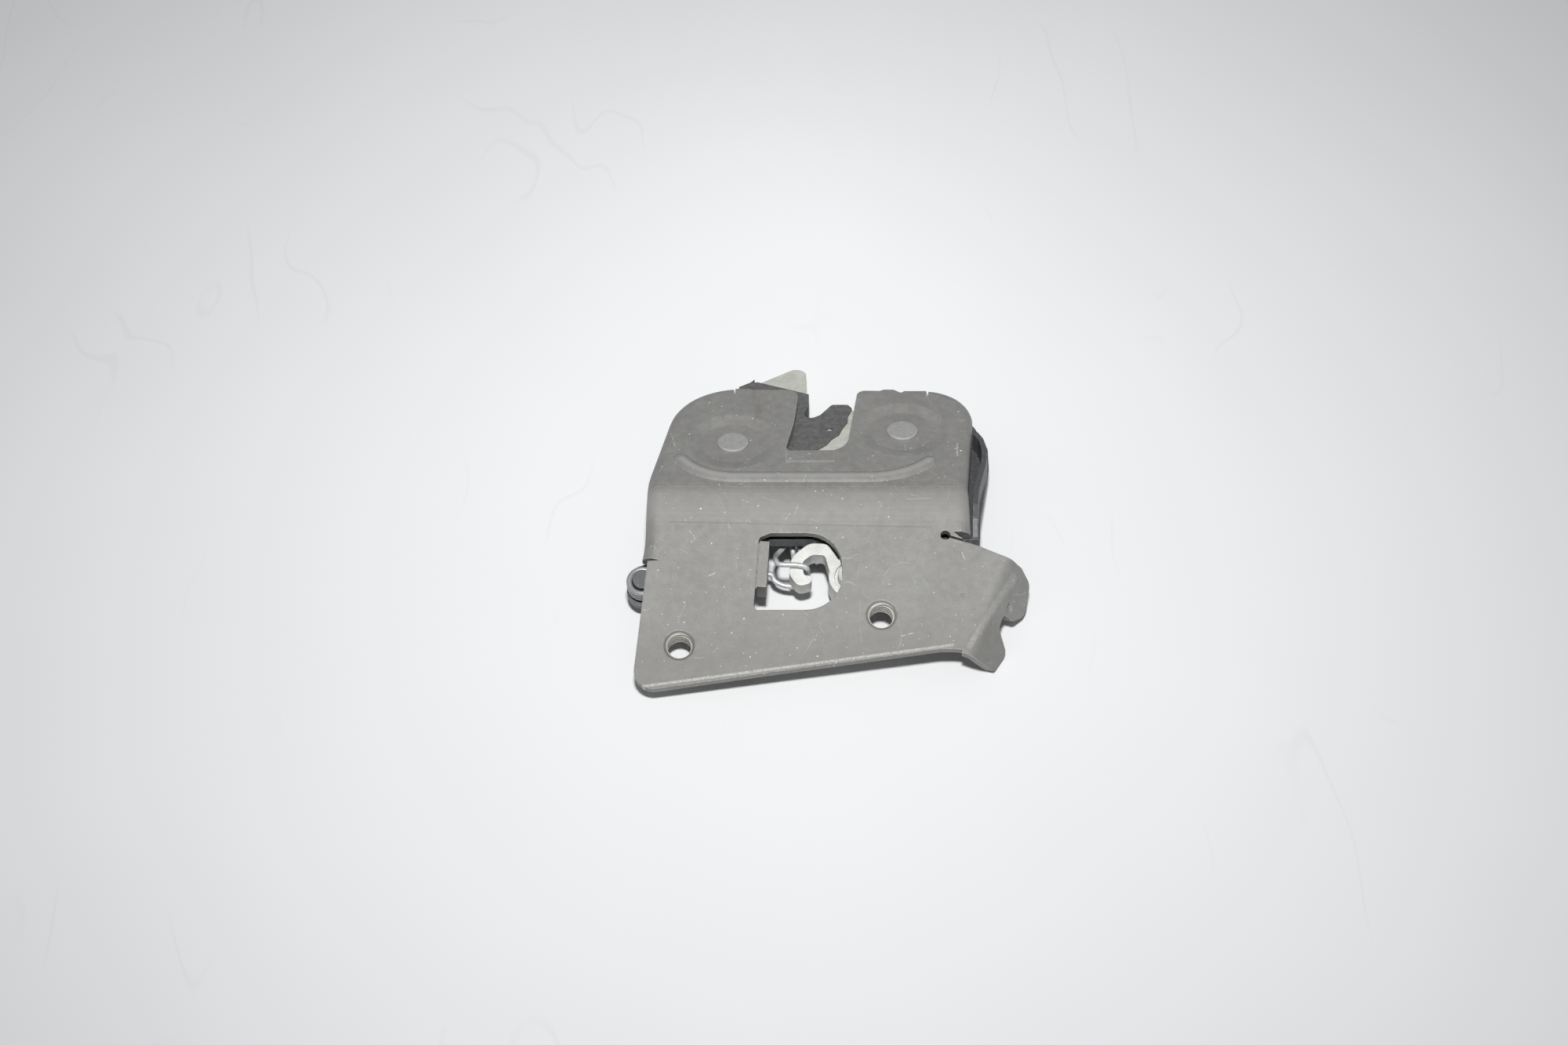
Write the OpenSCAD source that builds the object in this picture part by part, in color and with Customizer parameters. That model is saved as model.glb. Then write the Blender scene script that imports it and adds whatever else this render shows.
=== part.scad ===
/* [Housing] */

// Thickness of the pressed housing sheet
sheet_t = 2.5; // [2:0.1:3]
// Depth of the turned-down housing wall
wall_depth = 9; // [8:0.5:11]
// Outside radius of the rolled edges
edge_r = 3.5; // [3:0.25:4.5]
// Angle between the housing face and the mounting plate
bend_angle = 30; // [25:1:35]
// Outside radius of the bend between them
bend_r = 25; // [18:1:30]
// Depth of the sunken rings round the rivets
ring_sink = 0.9; // [0.5:0.1:1.2]
// Height of the curved stiffening bead
bead_h = 0.8; // [0.4:0.1:1.2]

/* [Mounting plate] */

// Bore radius of the two tapped fixing holes
thread_r = 3.4; // [2.5:0.05:4]
// Length of the drawn collars under the plate
collar_l = 4; // [2:0.5:6]
// Angle of the side flange below the plate
flange_angle = 60; // [45:1:75]

/* [Catch and pawl] */

// Catch turn from the open rest position, towards locked is negative
catch_turn = 0; // [-38:1:0]
// Pawl turn from the lifted rest position, towards dropped is negative
pawl_turn = 0; // [-18:1:0]
// Thickness of the steel core of the catch and of the pawl
core_t = 4; // [3:0.25:4.5]
// Height of the moulded jacket round the core
jacket_t = 5.5; // [5:0.1:5.6]

/* [Release lever and springs] */

// Thickness of the cast release lever
lever_t = 6.2; // [5:0.1:6.5]
// Wire diameter of the tension spring
wire_d = 1.4; // [1:0.1:1.6]
// Turns of the tension spring
coil_turns = 5; // [3:1:7]

/* [Rest] */

// Tilt of the housing as the latch lies on its back
lie_tilt = 12.4; // [8:0.1:16]

/* [Hidden] */

$fn = 48;
catch_at = [-13.7, 27];
pawl_at = [32, 32.4];
lever_at = [17.2, -19.1];
post_at = [-36.6, -20.4];
hole_left = [-26.7, -39.5];
hole_right = [24.9, -31.3];
tangent_l = bend_r * tan(bend_angle / 2);
back_top = -wall_depth;
back_t = 2.2;
core_top = -3.75;
jacket_top = -3;
arm_top = 10.8;
arm_t = 2.8;
lever_ratio = -1.167;
left_x = -36;
right_x = 48.6;
flange_from = [58.6, -16.4];
flange_to = [48.8, -42.1];
flange_dir = atan2(flange_to[1] - flange_from[1], flange_to[0] - flange_from[0]);
flange_l = norm(flange_to - flange_from);
flange_r = 4;
flange_tan = flange_r * tan(flange_angle / 2);

function unit(v) = v / norm(v);
function xy(v) = [v[0], v[1]];
function corner(p, q, n, r) = r <= 0 ? [q] :
  let (a = unit(p - q), b = unit(n - q), half = acos(a * b) / 2, c = q + unit(a + b) * r / sin(half))
  let (s = q + a * r / tan(half) - c, e = q + b * r / tan(half) - c, a0 = atan2(s[1], s[0]))
  let (sweep = ((atan2(e[1], e[0]) - a0 + 900) % 360) - 180, k = max(2, ceil(abs(sweep) / 11)))
  [for (i = [0 : k]) c + r * [cos(a0 + sweep * i / k), sin(a0 + sweep * i / k)]];
function rounded(v) = [for (i = [0 : len(v) - 1])
  each corner(xy(v[(i + len(v) - 1) % len(v)]), xy(v[i]), xy(v[(i + 1) % len(v)]), v[i][2])];
function arc(c, r, a0, a1, k) = [for (i = [0 : k])
  [c[0] + r * cos(a0 + (a1 - a0) * i / k), c[1] + r * sin(a0 + (a1 - a0) * i / k), 0]];
function lie_pt(p) = [p[0], p[1] * cos(lie_tilt) + p[2] * sin(lie_tilt), p[2] * cos(lie_tilt) - p[1] * sin(lie_tilt)];
function from_plate(p, d) = [p[0], p[1] * cos(bend_angle) + d * sin(bend_angle), p[1] * sin(bend_angle) - d * cos(bend_angle)];

// The latch as it lies on its back, the origin in the left fixing hole at half the plate's thickness
module lie() {
  translate(-lie_pt(from_plate(hole_left, sheet_t / 2)))
    rotate([-lie_tilt, 0, 0])
      children();
}

// Drawing plane of the mounting plate: its top face is z 0 and y runs up the plate
module on_plate() {
  rotate([bend_angle, 0, 0])
    children();
}

module slab(top, t) {
  translate([0, 0, top - t])
    linear_extrude(t)
      children();
}

module turned(at, a) {
  translate([at[0], at[1], 0])
    rotate([0, 0, a])
      translate([-at[0], -at[1], 0])
        children();
}

// Stations of a rolled edge round an arc: place and angle of the outward normal, r negative where the centre is outside
function arc_stations(c, r, a0, a1, k) = [for (i = [0 : k])
  let (a = a0 + (a1 - a0) * i / k) [c[0] + r * cos(a), c[1] + r * sin(a), a]];

left_c = [-12, 34];
right_c = [38.5, 39.5];
lip = 1.2;
lip_sink = 0.02;
foot_r = 30;
straight_l = 1.5;
foot_c = [left_x + edge_r + foot_r, tangent_l + straight_l];
heel_c = [right_x - edge_r + foot_r, tangent_l + straight_l];
left_r = 19.5 - edge_r;
right_r = 13 - edge_r;
left_a = atan2(left_c[1] - foot_c[1], left_c[0] - foot_c[0]) + acos((foot_r - left_r) / norm(left_c - foot_c));
heel_v = heel_c - right_c;
right_a = atan2(heel_v[1], heel_v[0]) + acos((right_r + foot_r) / norm(heel_v));

left_edge = concat([[left_x + edge_r, tangent_l, 180]], arc_stations(foot_c, foot_r, 180, left_a, 2), arc_stations(left_c, left_r, left_a, 96, 12));
right_edge = concat(arc_stations(right_c, right_r, 83, right_a, 11), arc_stations(heel_c, -foot_r, right_a / 2, 0, 1),
  [[right_x - edge_r, tangent_l, 0]]);
mouth_edge = [
  [-13.4, 51.4, 0], [-9.6, 51.5, 0.6], [-8.6, 50.9, 0.6], [3.9, 51, 3.2], [3.7, 46, 0], [2.6, 35, 0], [0.2, 22.4, 2],
  [16.6, 22.4, 6.2], [17.5, 29.5, 0], [20.3, 50.5, 2.4], [26.4, 50.4, 0], [27.6, 51, 0.8], [30.2, 51, 0.8], [31.2, 50.2, 0],
  [32.2, 49.5, 0.5], [33.2, 50.3, 0], [39.2, 50.3, 0]];

mouth_outline = [[2.9, 60, 0], [1.8, 35, 0], [-0.8, 21.4, 2.4], [17.8, 21.4, 6.4], [18.6, 29.5, 0], [22.4, 60, 0]];

skirt_r = 36;
skirt_c = [left_x + edge_r - skirt_r, -tangent_l - straight_l];
skirt_a = -12.4;
skirt_depth = 5.4;

skirt_edge = concat(arc_stations(skirt_c, -skirt_r, 180 + skirt_a, 180, 3), [[left_x + edge_r, -tangent_l, 180]]);
right_skirt = [[right_x - edge_r, -tangent_l, 0], [right_x - edge_r, -8.3, 0]];
plate_edge = [
  [46.9, -10.8, 1], [58.4 - 0.934 * flange_tan, -14.9, 0.8], [58.6 - 0.934 * flange_tan, -16.4 + 0.356 * flange_tan, 0],
  [48.8 - 0.934 * flange_tan, -42.1 + 0.356 * flange_tan, 0], [45.4, -40.5, 6], [39.9, -40.5, 6], [0, -46.3, 30],
  [-38.7, -52.1, 5], [-35.2, -16.5, 0]];

function back(v) = [for (i = [len(v) - 1 : -1 : 0]) v[i]];

// One side of a rolled edge with its wall: a quarter turn of radius r from the flat, then down to low, outward is x
function rim_side(r, low) = concat([for (i = [0 : 6]) r * [sin(i * 15), cos(i * 15)] - [0, edge_r]], [[r, low]]);

// Faces of a body drawn through n rings of m points, which run over its outside and come back along its inside
function loft_faces(m, n) = concat(
  [for (j = [0 : m / 2 - 2]) [m - 1 - j, m - 2 - j, j + 1, j]],
  [for (i = [0 : n - 2]) for (j = [0 : m - 1]) [i * m + j, i * m + (j + 1) % m, (i + 1) * m + (j + 1) % m, (i + 1) * m + j]],
  [for (j = [0 : m / 2 - 2]) let (b = (n - 1) * m) [b + j, b + j + 1, b + m - 2 - j, b + m - 1 - j]]);

// Rolled edge with its wall along clockwise stations, with a flat strip that meets the sheet
module rim(stations, depth) {
  section = concat([[-lip, 0]], rim_side(edge_r, -depth), back(rim_side(edge_r - sheet_t, -depth)), [[-lip, -sheet_t]]);
  polyhedron(
    points = [for (s = stations) for (p = section) [s[0] + p[0] * cos(s[2]), s[1] + p[0] * sin(s[2]), p[1]]],
    faces = loft_faces(len(section), len(stations)));
}

function inner(stations) = [for (s = stations) [s[0] - lip * cos(s[2]), s[1] - lip * sin(s[2]), 0]];

// Stations round the wide bend: angle and how far it runs straight on into the sheet before or after it
bend_stations = concat([[0, -lip]], [for (i = [0.5 : 7.5]) [bend_angle * i / 8, 0]], [[bend_angle, lip]]);

// Wide bend between the face and the plate, let into both just inside their surfaces
module bend_zone() {
  polyhedron(
    points = [for (v = bend_stations) for (q = bend_section(v[0])) [q[0],
      tangent_l - (bend_r + q[1]) * sin(v[0]) - v[1] * cos(v[0]), (bend_r + q[1]) * cos(v[0]) - bend_r - v[1] * sin(v[0])]],
    faces = loft_faces(len(bend_section(0)), len(bend_stations)));
}

// Channel section at angle a of the bend: its walls end in the plane of the back plate
function channel(side) = concat(
  [for (p = back(side)) [left_x + edge_r - p[0], p[1]]],
  [for (p = side) [right_x - edge_r + p[0], p[1]]]);
function bend_section(a) = let (low = (bend_r - wall_depth) / cos(a) - bend_r + lip_sink)
  concat(channel(rim_side(edge_r - lip_sink, low)), back(channel(rim_side(edge_r - sheet_t + lip_sink, low))));

window_outline = [
  [-6.65, -11, 0], [-6.2, -9.9, 0.6], [-3.6, -8.7, 2.4], [15, -8.7, 9], [15, -29.9, 9.6], [-7.9, -29.9, 1.2], [-7.5, -24.4, 0]];

flange_outline = [
  [-0.6, -8, 0], [-0.6, flange_tan, 0], [-1, 6, 2], [0.3, 12.4, 3], [7.9, 15.6, 3], [12.2, 11, 3], [12.8, 5.6, 1.4], [16.8, 5.8, 2.4],
  [20.4, 13.6, 2], [26.9, 10.9, 1.6], [28.2, flange_tan, 0], [28.2, -8, 0]];

// Profile of a strip bent down from the sheet, let into it by the lip and just inside its two faces
function bent_strip(c, r, a, l) = let (tip = l * [cos(a), -sin(a)]) concat(
  [[c - lip, -lip_sink]],
  [for (i = [0 : 8]) [c, -r] + (r - lip_sink) * [sin(a * i / 8), cos(a * i / 8)]],
  [[c, -r] + (r - lip_sink) * [sin(a), cos(a)] + tip, [c, -r] + (r - sheet_t + lip_sink) * [sin(a), cos(a)] + tip],
  [for (i = [8 : -1 : 0]) [c, -r] + (r - sheet_t + lip_sink) * [sin(a * i / 8), cos(a * i / 8)]],
  [[c - lip, lip_sink - sheet_t]]);

// Cast-off frame of the side flange: x runs down the bend line, y outward
module flange_frame() {
  translate([flange_from[0], flange_from[1], 0])
    rotate([0, 0, flange_dir])
      children();
}

module side_flange() {
  flange_frame()
    difference() {
      intersection() {
        translate([-2, 0, 0])
          rotate([90, 0, 90])
            linear_extrude(32)
              polygon(bent_strip(-flange_tan, flange_r, flange_angle, 20));
        rotate([-flange_angle, 0, 0])
          slab(15, 30)
            polygon(rounded(flange_outline));
      }
      rotate([-flange_angle, 0, 0])
        translate([10.2, 7.2, 0.9])
          sphere(1.7);
    }
}

// Upright lug along the left edge of the window, joined to the plate below a narrow groove
module window_tab() {
  translate([-6.25, -10.9, 0])
    rotate([90, 0, -3.7])
      linear_extrude(12.6)
        polygon([[0, -0.2], [2.5, -0.2], [2.5, -7.6], [0, -7.6], [0, -2.3], [-1.6, -2.3], [-1.6, -1.2], [0, -1.2]]);
}

module thread_collar(at) {
  translate([at[0], at[1], -sheet_t - collar_l])
    cylinder(r1 = 5.6, r2 = 6.2, h = collar_l + 0.1);
}

module thread_bore(at) {
  translate([at[0], at[1], -20])
    cylinder(r = thread_r, h = 30);
  translate([at[0], at[1], -0.7])
    cylinder(r1 = thread_r, r2 = thread_r + 0.8, h = 0.8);
}

// Raised bead: rings of a circle segment along its line, drawn in towards its two ends
bead_at = [[-13, 28.04], [22, 34.3]];
bead_r = [17.14, 23.4];
bead_half = sqrt(5);
bead_root = 0.3;
bead_curve = (5 + bead_h * bead_h) / (2 * bead_h);
bead_foot = sqrt(bead_curve * bead_curve - pow(bead_curve - bead_h - bead_root, 2));
bead_line = concat(
  [for (k = [0.15, 0.65, 0.92, 1]) [bead_at[0], bead_r[0], -147.8 - 57.3 * bead_half * sqrt(1 - k * k) / bead_r[0], k]],
  [for (a = [-138 : 8 : -90]) [bead_at[0], bead_r[0], a, 1]],
  [for (a = [-90 : 6.4 : -50]) [bead_at[1], bead_r[1], a, 1]],
  [for (k = [1, 0.92, 0.65, 0.15]) [bead_at[1], bead_r[1], -44.8 + 57.3 * bead_half * sqrt(1 - k * k) / bead_r[1], k]]);

module bead() {
  polyhedron(
    points = [for (s = bead_line) for (i = [0 : 9]) let (x = bead_foot * (1 - i / 4.5))
      let (r = s[1] + s[3] * x, z = s[3] * (bead_h - bead_curve + bead_root + sqrt(bead_curve * bead_curve - x * x)) - bead_root)
      [s[0][0] + r * cos(s[2]), s[0][1] + r * sin(s[2]), z]],
    faces = loft_faces(10, len(bead_line)));
}

// Ledge pressed up along the bottom of the mouth
module mouth_ledge() {
  translate([0.6, 0, 0])
    rotate([90, 0, 90])
      linear_extrude(12.8)
        polygon([[17, -0.15], [17.9, 0.25], [22.37, 0.25], [22.37, -0.5], [17, -0.5]]);
}

module ring_dish(at) {
  translate([at[0], at[1], -ring_sink])
    cylinder(r = 8.6, h = 3);
  translate([at[0], at[1], -ring_sink])
    cylinder(r1 = 8.6, r2 = 12.2, h = ring_sink * 1.02);
  translate([at[0], at[1], -10])
    cylinder(r = 3.02, h = 12);
}

module ring_boss(at, r) {
  translate([at[0], at[1], -sheet_t - ring_sink])
    cylinder(r1 = r, r2 = r + 1.6, h = ring_sink + 0.2);
}

// Face of the housing with its rolled edge, bead and sunken rings
module face_sheet() {
  difference() {
    union() {
      slab(0, sheet_t)
        polygon(rounded(concat(inner(left_edge), mouth_edge, inner(right_edge))));
      rim(left_edge, wall_depth);
      rim(right_edge, wall_depth);
      bead();
      mouth_ledge();
      ring_boss(catch_at, 8.4);
      ring_boss(pawl_at, 7);
    }
    ring_dish(catch_at);
    ring_dish(pawl_at);
  }
}

// Mounting plate with its window, tapped holes and side flange
module plate_sheet() {
  difference() {
    union() {
      slab(0, sheet_t)
        polygon(rounded(concat(inner(right_skirt), plate_edge, inner(skirt_edge))));
      rim(right_skirt, skirt_depth);
      rim(skirt_edge, skirt_depth);
      side_flange();
      thread_collar(hole_left);
      thread_collar(hole_right);
    }
    slab(5, 12)
      polygon(rounded(window_outline));
    thread_bore(hole_left);
    thread_bore(hole_right);
    translate([41.8, -9.3, -8])
      cylinder(r = 1.3, h = 12);
    translate([41.8, -9.3, -8])
      rotate([0, 0, -17])
        translate([0, -0.35, 0])
          cube([9, 0.7, 12]);
    translate([46, -25.85, -0.5])
      cylinder(r = 0.5, h = 2);
  }
  window_tab();
}

module housing_plate() {
  color([0.5, 0.5, 0.49])
  union() {
    face_sheet();
    bend_zone();
    on_plate()
      plate_sheet();
  }
}

back_outline = concat(
  arc(left_c, 19.5, 171.1, 92, 9),
  [[-12.5, 51.3, 0], [22, 51.3, 0]],
  [[40, 51.3, 6], [52, 47.5, 5], [55.7, 35.5, 4], [55.4, 26, 6], [53.6, 15.4, 8], [51.8, 4.4, 6], [51.2, -4.5, 0.5], [38.5, -4.5, 1]],
  [[38.5, 12.8, 3], [16.4, 12.8, 3], [16.4, -4.5, 1], [-20.8, -4.5, 0], [-35.6, -4.5, 1]]);

// Wall turned up along the right edge of the back plate: place and outward angle of its crest, and its height
wall_line = [
  [52.7, 35.8, 27, -3.5], [54.03, 32.92, 14, -3.5], [54.6, 29.5, 4, -3.5], [54.69, 27.17, 0, -3.5], [54.45, 24, -5, -3.5],
  [54.04, 21.15, -9, -3.5], [52.75, 15.55, -12.5, -3.5], [51.52, 9.68, -9.5, -3.5], [50.95, 4, -4.5, -3.6], [50.7, 0, -1, -5.5],
  [50.65, -4, 0, -8.6]];
wall_t = 1.4;
wall_lean = 0.5;

module turned_wall() {
  polyhedron(
    points = [for (s = wall_line) for (p = [[-wall_t, s[3]], [0, s[3]], [wall_lean, back_top - 1], [-wall_t, back_top - 1]])
      [s[0] + p[0] * cos(s[2]), s[1] + p[0] * sin(s[2]), p[1]]],
    faces = loft_faces(4, len(wall_line)));
}

// Ear of the back plate, bent to run under the left edge of the mounting plate
module spring_ear() {
  translate([-34, 0, 0])
    rotate([90, 0, 90])
      linear_extrude(13)
        polygon([[-3.4, back_top], [-4.9, back_top], [-7.7, -15], [-6.3, -17.2], [-3.4, -12.2]]);
  on_plate()
    slab(-9.6, back_t)
      polygon(rounded([[-21, -13, 0], [-21, -20.6, 6], [-29, -26, 6], [-41.2, -25.2, 4.6], [-40.6, -15.2, 4.6], [-34, -13, 0]]));
}

module back_plate() {
  color([0.2, 0.2, 0.21])
  difference() {
    union() {
      slab(back_top, back_t)
        polygon(rounded(back_outline));
      turned_wall();
      spring_ear();
    }
    slab(5, 30)
      polygon(rounded(mouth_outline));
    for (at = [catch_at, pawl_at])
      translate([at[0], at[1], -20])
        cylinder(r = 3.02, h = 30);
    translate([13.8, -1.6, -20])
      cylinder(r = 1.1, h = 30);
    on_plate()
      translate([post_at[0], post_at[1], -20])
        cylinder(r = 1.82, h = 30);
  }
}

core_r = 37.9;

core_outline = concat(
  [[6.2, 68.7, 2.8], [6.3, 53, 0], [5.7, 48.5, 0], [4.4, 44.8, 1], [0.7, 38.4, 2.4], [9.9, 42, 1.5], [13.6, 46.9, 1]],
  arc(catch_at, core_r, 31.2, 8.5, 5),
  arc(catch_at, 31, 7, -18, 5),
  [[-10, 15.6, 0], [-18, 17, 0], [-23.6, 30, 3], [-20.4, 44.6, 3], [-11.4, 50.4, 0], [-9.6, 57.2, 1]]);

jacket_outline = [
  [6.9, 53, 0], [6.9, 48, 1], [5.6, 44.2, 1], [1.7, 37.9, 1.8], [9.9, 43.1, 1.5], [13.2, 48, 1], [17.6, 48, 0.8],
  [18.7, 46.3, 0], [17.6, 43.2, 0], [17.4, 40.4, 0], [16, 37.6, 0], [15, 34.6, 0], [12.9, 32.4, 0], [11.6, 30, 0],
  [8.9, 27.5, 0], [4, 21, 2], [-6, 20, 0], [-14, 22, 0], [-24, 26, 3], [-25.4, 35, 4], [-21.8, 45.4, 4], [-12.6, 50.2, 0],
  [-12.5, 56.6, 0], [-9.4, 58.7, 0], [-8.2, 60.2, 0], [-8.6, 58.7, 0], [-7.3, 58.9, 0]];

module core_solid() {
  difference() {
    union() {
      slab(core_top, core_t)
        polygon(rounded(core_outline));
      translate([catch_at[0], catch_at[1], core_top - core_t])
        cylinder(r = 11, h = core_t);
    }
    translate([12.4, 36.5, -20])
      cylinder(r = 0.9, h = 30);
  }
}

module catch_core() {
  color([0.78, 0.78, 0.75])
  turned(catch_at, catch_turn)
    difference() {
      core_solid();
      translate([catch_at[0], catch_at[1], -20])
        cylinder(r = 5.1, h = 30);
    }
}

module catch_jacket() {
  color([0.16, 0.16, 0.16])
  turned(catch_at, catch_turn)
    difference() {
      slab(jacket_top, jacket_t)
        polygon(rounded(jacket_outline));
      slab(core_top, core_t)
        polygon(rounded(core_outline));
      translate([catch_at[0], catch_at[1], -20])
        cylinder(r = 11.6, h = 30);
      translate([12.4, 36.5, -20])
        cylinder(r = 0.9, h = 30);
    }
}

// Shouldered rivet between the housing face and the back plate
module rivet(at, shoulder_r) {
  translate([at[0], at[1], 0]) {
    translate([0, 0, -ring_sink])
      cylinder(r = 4.2, h = 0.55);
    translate([0, 0, -ring_sink + 0.55])
      cylinder(r1 = 4.2, r2 = 3.8, h = 0.2);
    translate([0, 0, -12])
      cylinder(r = 3, h = 11.5);
    translate([0, 0, back_top])
      cylinder(r = shoulder_r, h = wall_depth - sheet_t - ring_sink);
    translate([0, 0, back_top - back_t - 1.3])
      cylinder(r1 = 3.9, r2 = 4.4, h = 1.3);
  }
}

module catch_rivet() {
  color([0.55, 0.55, 0.54])
  rivet(catch_at, 5.05);
}

module pawl_rivet() {
  color([0.55, 0.55, 0.54])
  rivet(pawl_at, 4);
}

pin_at = [34, 4];

// Locking pawl: the nose blocks the end face of the catch, the tail carries the drive pin
module pawl() {
  color([0.62, 0.62, 0.6])
  turned(pawl_at, pawl_turn)
    difference() {
      union() {
        slab(core_top, core_t) {
          translate(pawl_at)
            circle(7);
          polygon(rounded([[26.1, 30.2, 0], [25.5, 26.6, 0], [25.3, 23.9, 0.5], [26.8, 22.8, 0.5], [29.6, 14.6, 0], [37, 14.6, 0],
            [38.8, 31, 0], [32, 32, 0]]));
        }
        slab(core_top, 2.4) {
          polygon([[29.6, 14.8], [30.9, 4], [37.2, 4], [37, 14.8]]);
          translate(pin_at)
            circle(3.2);
        }
      }
      translate([pawl_at[0], pawl_at[1], -20])
        cylinder(r = 4.05, h = 30);
      translate([pin_at[0], pin_at[1], -20])
        cylinder(r = 1.5, h = 30);
    }
}

module drive_pin() {
  color([0.7, 0.7, 0.7])
  turned(pawl_at, pawl_turn)
    translate([pin_at[0], pin_at[1], 0]) {
      translate([0, 0, core_top - 3])
        cylinder(r = 1.5, h = 3);
      translate([0, 0, -13.4])
        cylinder(r = 2, h = 13.4 + core_top - 2.4);
    }
}

hook_outline = [
  [13.2, -12.8, 1.2], [11.2, -9.9, 2.4], [6.6, -9.7, 4], [1.9, -13.6, 4.4], [1.3, -18.4, 3], [3.6, -21.8, 2.2],
  [7.2, -20.8, 1.4], [7.2, -18.9, 0.6], [5.2, -18.6, 0.8], [4.6, -15, 2.2], [7.4, -12.9, 2.4], [10.6, -13.1, 1.2],
  [12.8, -21.4, 0], [14, -23.6, 0], [17.2, -19.1, 0]];

// Hook and eye of the release lever with the driving arm on its far side
module release_lever() {
  color([0.85, 0.85, 0.83])
  on_plate()
    turned(lever_at, pawl_turn * lever_ratio)
      difference() {
        union() {
          slab(-4.6, lever_t) {
            polygon(rounded(hook_outline));
            translate(lever_at)
              circle(5.6);
          }
          slab(-arm_top, arm_t) {
            translate(lever_at)
              circle(5.6);
            translate(lever_at)
              rotate([0, 0, 44.8])
                polygon(rounded([[0, -4, 0], [5, 2.9, 0], [24.4, 2.9, 0.8], [24.4, 5, 1], [8, 7.2, 3], [-2, 4.8, 0]]));
          }
        }
        translate([lever_at[0], lever_at[1], -20])
          cylinder(r = 3.25, h = 30);
        translate([lever_at[0], lever_at[1], -5.6])
          cylinder(r = 4.1, h = 3);
      }
}

module lever_stud() {
  color([0.75, 0.75, 0.73])
  on_plate()
    translate([lever_at[0], lever_at[1], 0])
      difference() {
        translate([0, 0, -15.2])
          cylinder(r = 3.2, h = 15.2 - sheet_t);
        translate([0, 0, -14.7])
          difference() {
            cylinder(r = 5, h = 0.9);
            cylinder(r = 2.5, h = 0.9);
          }
      }
}

module lever_clip() {
  color([0.3, 0.3, 0.32])
  on_plate()
    translate([lever_at[0], lever_at[1], -14.6])
      rotate([0, 0, -60])
        rotate_extrude(angle = 290)
          translate([2.52, 0])
            square([2.5, 0.7]);
}

module wire(pts, r) {
  for (i = [0 : len(pts) - 2])
    let (v = pts[i + 1] - pts[i])
      translate(pts[i])
        rotate([0, acos(v[2] / norm(v)), atan2(v[1], v[0])])
          cylinder(r = r, h = norm(v), $fn = 10);
  for (i = [1 : len(pts) - 2])
    translate(pts[i])
      sphere(r, $fn = 10);
}

// Close coil made of half turns, each tilted so that the next one joins it
module coil(r, wire_r, pitch, turns) {
  for (i = [0 : 2 * turns - 1])
    translate([0, 0, (i + 0.5) * pitch / 2])
      rotate([0, (i % 2 == 0 ? 1 : -1) * asin(pitch / 4 / r), 0])
        rotate([0, 0, (i % 2) * 180])
          rotate_extrude(angle = 180, $fn = 20)
            translate([r, 0])
              circle(wire_r, $fn = 10);
}

// Tension spring from the tip of the release lever to the back plate
module lever_spring() {
  color([0.78, 0.79, 0.8])
  on_plate() {
    translate([1.8, -8.8, -14])
      rotate([0, 90, 0])
        rotate([0, 0, 90])
          coil(2.4, wire_d / 2, 1.95, coil_turns);
    wire([[1.8, -8.8 + 2.4, -14], [0.8, -8.8 + 2.4, -12.8], [-0.2, -8.6, -10.8], [-1.8, -11, -9.4], [-2.2, -12.6, -7.2],
      [-2.1, -14.6, -4.4], [-1.2, -16, -3.6], [3, -16.2, -3.6], [5.2, -16.6, -3.7], [6.1, -17.1, -4.6],
      [6.2, -17.2, -8.6]], wire_d / 2);
  }
}

// Torsion spring at the left edge: one leg bears on the lever, the other on the catch
module catch_spring() {
  color([0.78, 0.79, 0.8])
  on_plate() {
    translate([post_at[0], post_at[1], -8.6])
      coil(3.5, 0.75, 1.58, 3);
    wire([[post_at[0] + 3.5, post_at[1], -8.6], [-32.4, -22.4, -8.7], [-30, -22.8, -8.75], [-18, -19.6, -8.75], [-8, -16.6, -11.2],
      [-3.6, -15.8, -11.4], [-2.4, -17.6, -11.6], [0, -18.8, -11.8], [3.4, -19.2, -11.8]], 0.75);
    wire([[post_at[0] + 3.5, post_at[1], -3.86], [-32.4, -16, -4.1], [-32.2, -6, -4.3]], 0.75);
  }
  wire([from_plate([-32.2, -6], 4.3), [-31.2, 8, -7.4], [-28.1, 25, -7.6], [-26.7, 32.6, -7]], 0.75);
}

module spring_post() {
  color([0.25, 0.25, 0.26])
  on_plate()
    translate([post_at[0], post_at[1], 0]) {
      translate([0, 0, -9.6])
        cylinder(r = 2.55, h = 6.9);
      translate([0, 0, -12.3])
        cylinder(r = 1.8, h = 3);
    }
}

lie() housing_plate();
lie() back_plate();
lie() catch_core();
lie() catch_jacket();
lie() catch_rivet();
lie() pawl();
lie() pawl_rivet();
lie() drive_pin();
lie() release_lever();
lie() lever_stud();
lie() lever_clip();
lie() lever_spring();
lie() catch_spring();
lie() spring_post();
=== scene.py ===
# %% [markdown]
# A seat backrest latch locks the folding back of a vehicle's seat. This one lies on its back on a pale table. Its
# shapes were drawn as solids and packed, and this file never moves or reshapes them. It adds what a picture needs:
# a camera, one light and a table, a finish for every part, and the few fine pieces that the solids leave plain,
# which are two screw threads and two springs of round wire.

import math

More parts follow.
